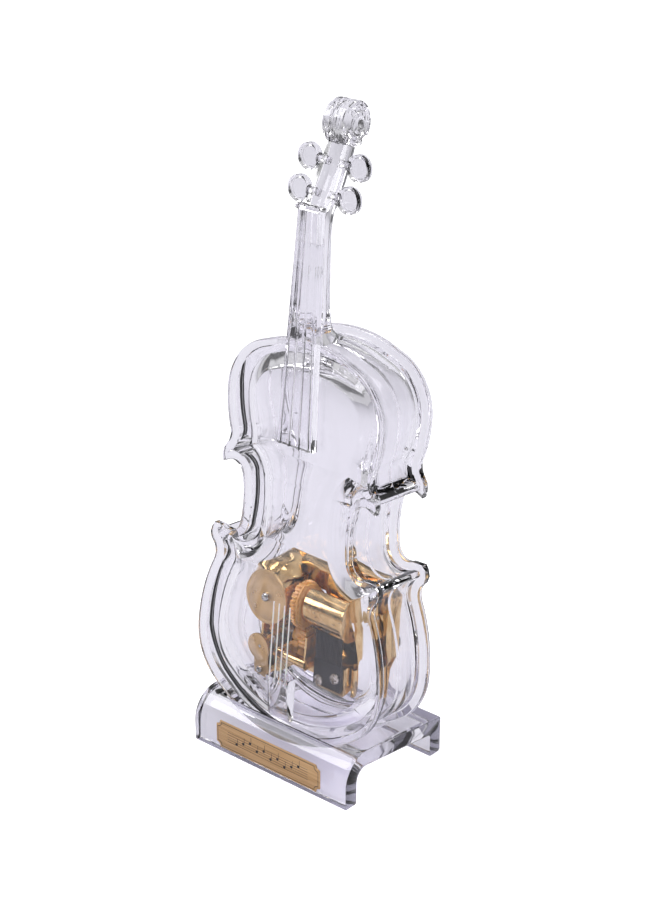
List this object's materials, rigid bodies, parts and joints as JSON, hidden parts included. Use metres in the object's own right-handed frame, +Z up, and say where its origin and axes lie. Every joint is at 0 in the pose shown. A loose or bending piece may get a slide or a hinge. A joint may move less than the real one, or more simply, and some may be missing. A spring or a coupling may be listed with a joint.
{
  "type": "wind-up music box",
  "caption": "Violin-shaped clear acrylic music box on a bent acrylic stand, with a spring-driven pinned cylinder and comb movement inside and a winding key at the back",
  "frame": {"origin": "on the table, under the middle of the stand", "axes": "+Z up along the violin's height, +Y from the front plaque to the back, +X to the right seen from the front"},
  "size_m": [0.078, 0.0489, 0.217],
  "materials": {
    "clear_acrylic": "polished clear acrylic",
    "brushed_brass": "brushed and lacquered",
    "gold_plate": "bright gold plating",
    "amber_gear": "moulded amber nylon",
    "nickel_steel": "bright nickel",
    "spring_steel": "tempered strip",
    "comb_steel": "hardened and ground dark",
    "white_nylon": "satin"
  },
  "bodies": {
    "case": {"stand": "clear_acrylic", "plaque": "brushed_brass", "front_plate": "clear_acrylic", "front_rib": "clear_acrylic", "back_rib": "clear_acrylic", "back_plate": "clear_acrylic", "neck": "clear_acrylic", "fingerboard": "clear_acrylic", "nut": "clear_acrylic", "peg_low_left": "clear_acrylic", "peg_high_left": "clear_acrylic", "peg_low_right": "clear_acrylic", "peg_high_right": "clear_acrylic", "tailpiece": "clear_acrylic", "strings": "white_nylon", "bedplate": "gold_plate", "spring_housing": "gold_plate", "spring_cover": "gold_plate", "mainspring": "spring_steel", "cylinder_bracket": "gold_plate", "comb": "comb_steel", "comb_base": "gold_plate", "comb_screws": "nickel_steel", "governor_frame": "gold_plate", "governor_cap": "gold_plate", "governor_screws": "nickel_steel", "movement_screws": "nickel_steel"},
    "winder": {"winding_arbor": "nickel_steel", "ratchet_wheel": "nickel_steel", "winding_key": "gold_plate"},
    "great": {"great_wheel": "amber_gear", "click": "spring_steel"},
    "cylinder": {"music_cylinder": "gold_plate", "cylinder_gear": "amber_gear", "cylinder_shaft": "nickel_steel"},
    "governor": {"governor_shaft": "nickel_steel", "governor_pinion": "amber_gear", "worm_wheel": "amber_gear"},
    "fly_shaft": {"worm": "nickel_steel", "fly": "amber_gear"}
  },
  "joints": [
    {"name": "cylinder_turn", "type": "hinge", "parent": "case", "child": "cylinder", "pos_m": [0.006, -0.00098, 0.05395], "axis": [1, 0, 0], "continuous": true},
    {"name": "great_wheel_turn", "type": "hinge", "parent": "case", "child": "great", "pos_m": [-0.014, 0.00569, 0.05332], "axis": [0, 0.9956, -0.0941], "continuous": true},
    {"name": "governor_turn", "type": "hinge", "parent": "case", "child": "governor", "pos_m": [-0.008, -0.00217, 0.04136], "axis": [1, 0, 0], "continuous": true},
    {"name": "fly_turn", "type": "hinge", "parent": "case", "child": "fly_shaft", "pos_m": [-0.0155, -0.00271, 0.03569], "axis": [0, 0.9956, -0.0941], "continuous": true},
    {"name": "winding_turn", "type": "hinge", "parent": "case", "child": "winder", "pos_m": [-0.014, 0.01266, 0.05266], "axis": [0, 0.9956, -0.0941], "range_deg": [0, 1080]}
  ],
  "couplings": [
    {"joint": "great_wheel_turn", "follows": "cylinder_turn", "ratio": -0.6},
    {"joint": "governor_turn", "follows": "cylinder_turn", "ratio": -2.4706},
    {"joint": "fly_turn", "follows": "cylinder_turn", "ratio": 34.588}
  ]
}
